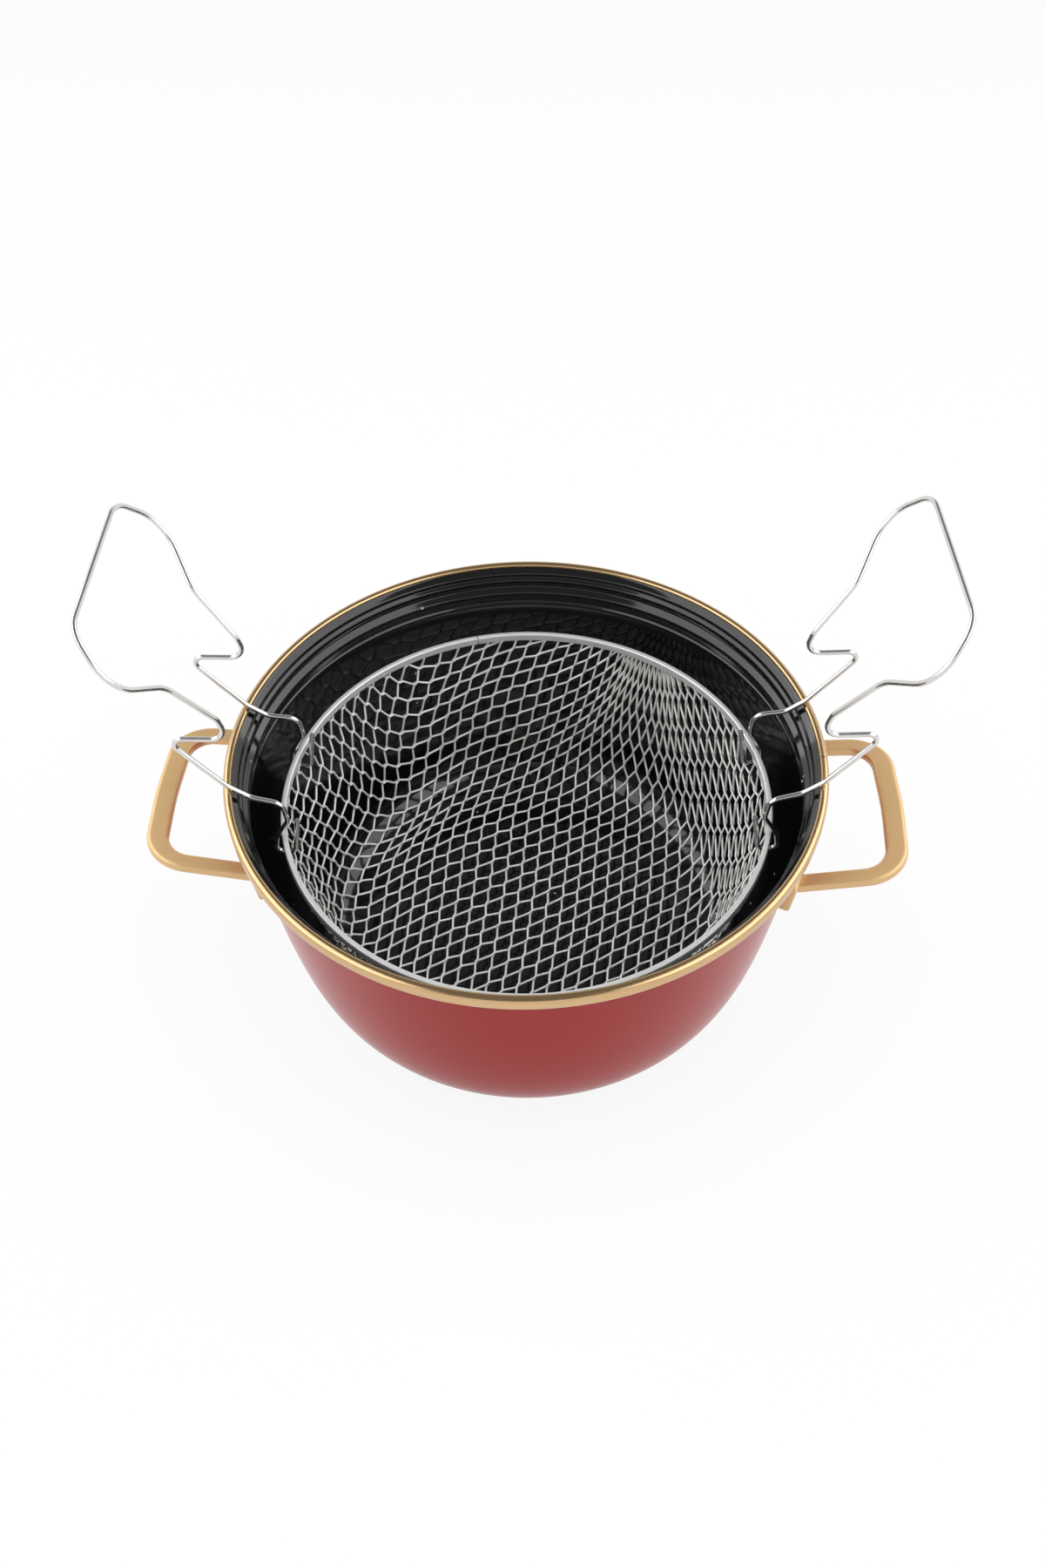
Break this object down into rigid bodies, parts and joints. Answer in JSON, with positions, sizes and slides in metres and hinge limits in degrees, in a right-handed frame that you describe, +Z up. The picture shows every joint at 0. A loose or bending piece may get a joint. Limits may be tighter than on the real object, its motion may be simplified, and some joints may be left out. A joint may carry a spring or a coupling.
{
  "type": "frying pot with basket",
  "caption": "Round enamelled deep frying pot with strap side handles and a lift-out wire mesh basket on folding wire handles.",
  "frame": {"origin": "middle of the pot's flat base, on the table", "axes": "+Z up, +X towards the right side handle, -Y towards the front"},
  "size_m": [0.3226, 0.25, 0.2208],
  "materials": {
    "red_enamel": "glossy red enamel outside and glossy black enamel inside, on pressed steel",
    "gold_rim": "polished gold-coloured metal strip",
    "gold_handle": "satin gold-coloured metal",
    "bright_wire": "bright plated steel wire",
    "net_wire": "tinned woven wire"
  },
  "bodies": {
    "pot": {"pot_body": "red_enamel", "rim_band": "gold_rim", "left_side_handle": "gold_handle", "right_side_handle": "gold_handle", "left_front_handle_foot": "gold_handle", "left_back_handle_foot": "gold_handle", "right_front_handle_foot": "gold_handle", "right_back_handle_foot": "gold_handle"},
    "basket": {"basket_hoop": "bright_wire", "basket_net": "net_wire"},
    "left_wire_handle": {"left_basket_handle": "bright_wire"},
    "right_wire_handle": {"right_basket_handle": "bright_wire"}
  },
  "joints": [
    {"name": "basket_lift", "type": "slide", "parent": "pot", "child": "basket", "axis": [0, 0, 1], "range_m": [0, 0.13]},
    {"name": "left_handle_hinge", "type": "hinge", "parent": "basket", "child": "left_wire_handle", "pos_m": [-0.10059, -0.00068, 0.09325], "axis": [-0.0068, 1, 0], "range_deg": [0, 65]},
    {"name": "right_handle_hinge", "type": "hinge", "parent": "basket", "child": "right_wire_handle", "pos_m": [0.1004, 0.00623, 0.09325], "axis": [0.0619, -0.9981, 0], "range_deg": [0, 65]}
  ]
}
